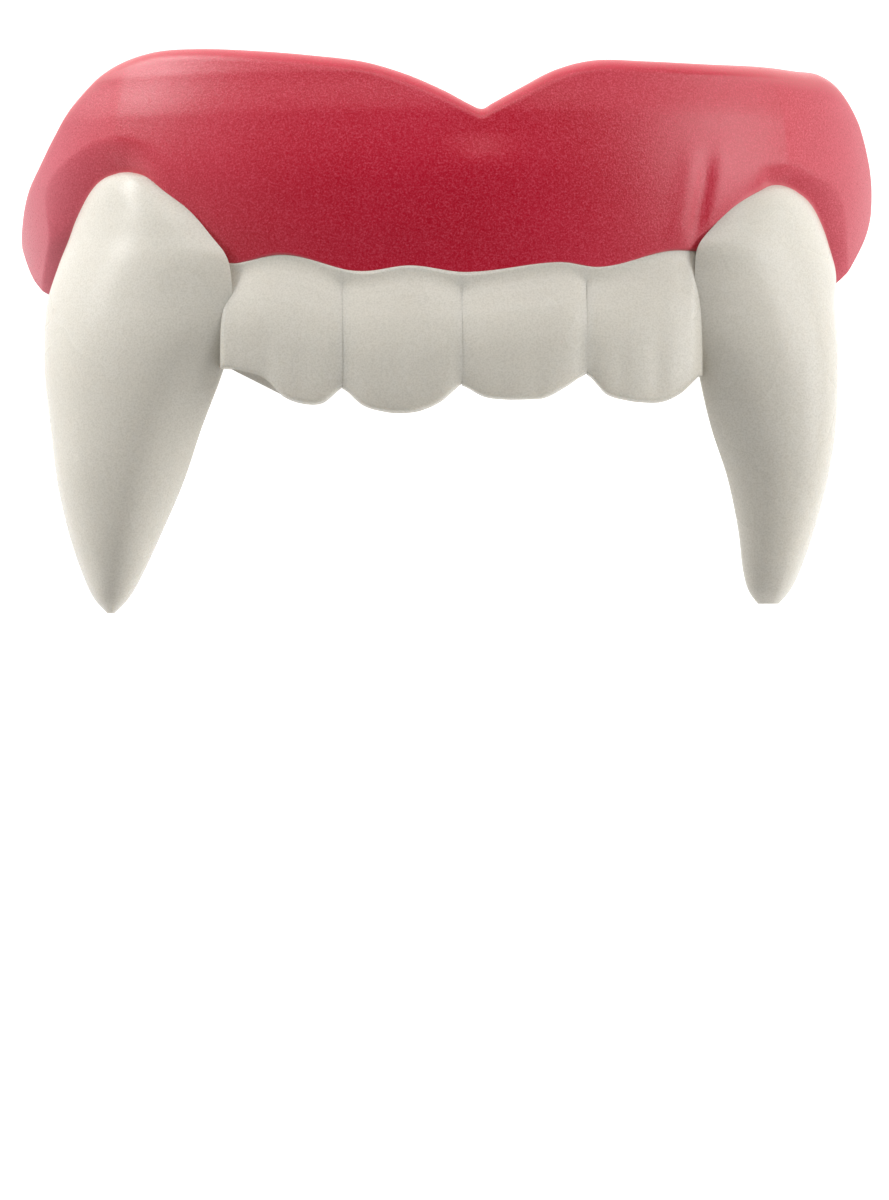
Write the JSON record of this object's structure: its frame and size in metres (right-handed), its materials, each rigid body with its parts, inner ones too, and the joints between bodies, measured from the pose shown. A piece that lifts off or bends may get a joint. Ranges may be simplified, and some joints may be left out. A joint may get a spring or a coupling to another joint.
{
  "type": "upper vampire fang denture",
  "caption": "Costume upper denture: red gum plate, incisors between two long fangs, and a channel behind that slips over the wearer's own teeth.",
  "frame": {"origin": "on the surface that the denture rests on, under the middle of its outline", "axes": "+X to the right of one who looks at the teeth, +Y from the fang tips to the upper edge of the gum, +Z from the heels of the bite tray to the faces of the teeth"},
  "size_m": [0.056, 0.0362, 0.0256],
  "materials": {
    "gum": "satin red paint over white plastic, worn pale along its edges",
    "tooth": "smooth ivory-white moulded plastic, softly glossy"
  },
  "bodies": {
    "root": {"gum_plate": "gum", "bite_tray": "tooth", "fang_left": "tooth", "fang_right": "tooth", "incisor_left_lateral": "tooth", "incisor_left_central": "tooth", "incisor_right_central": "tooth", "incisor_right_lateral": "tooth"}
  },
  "joints": []
}
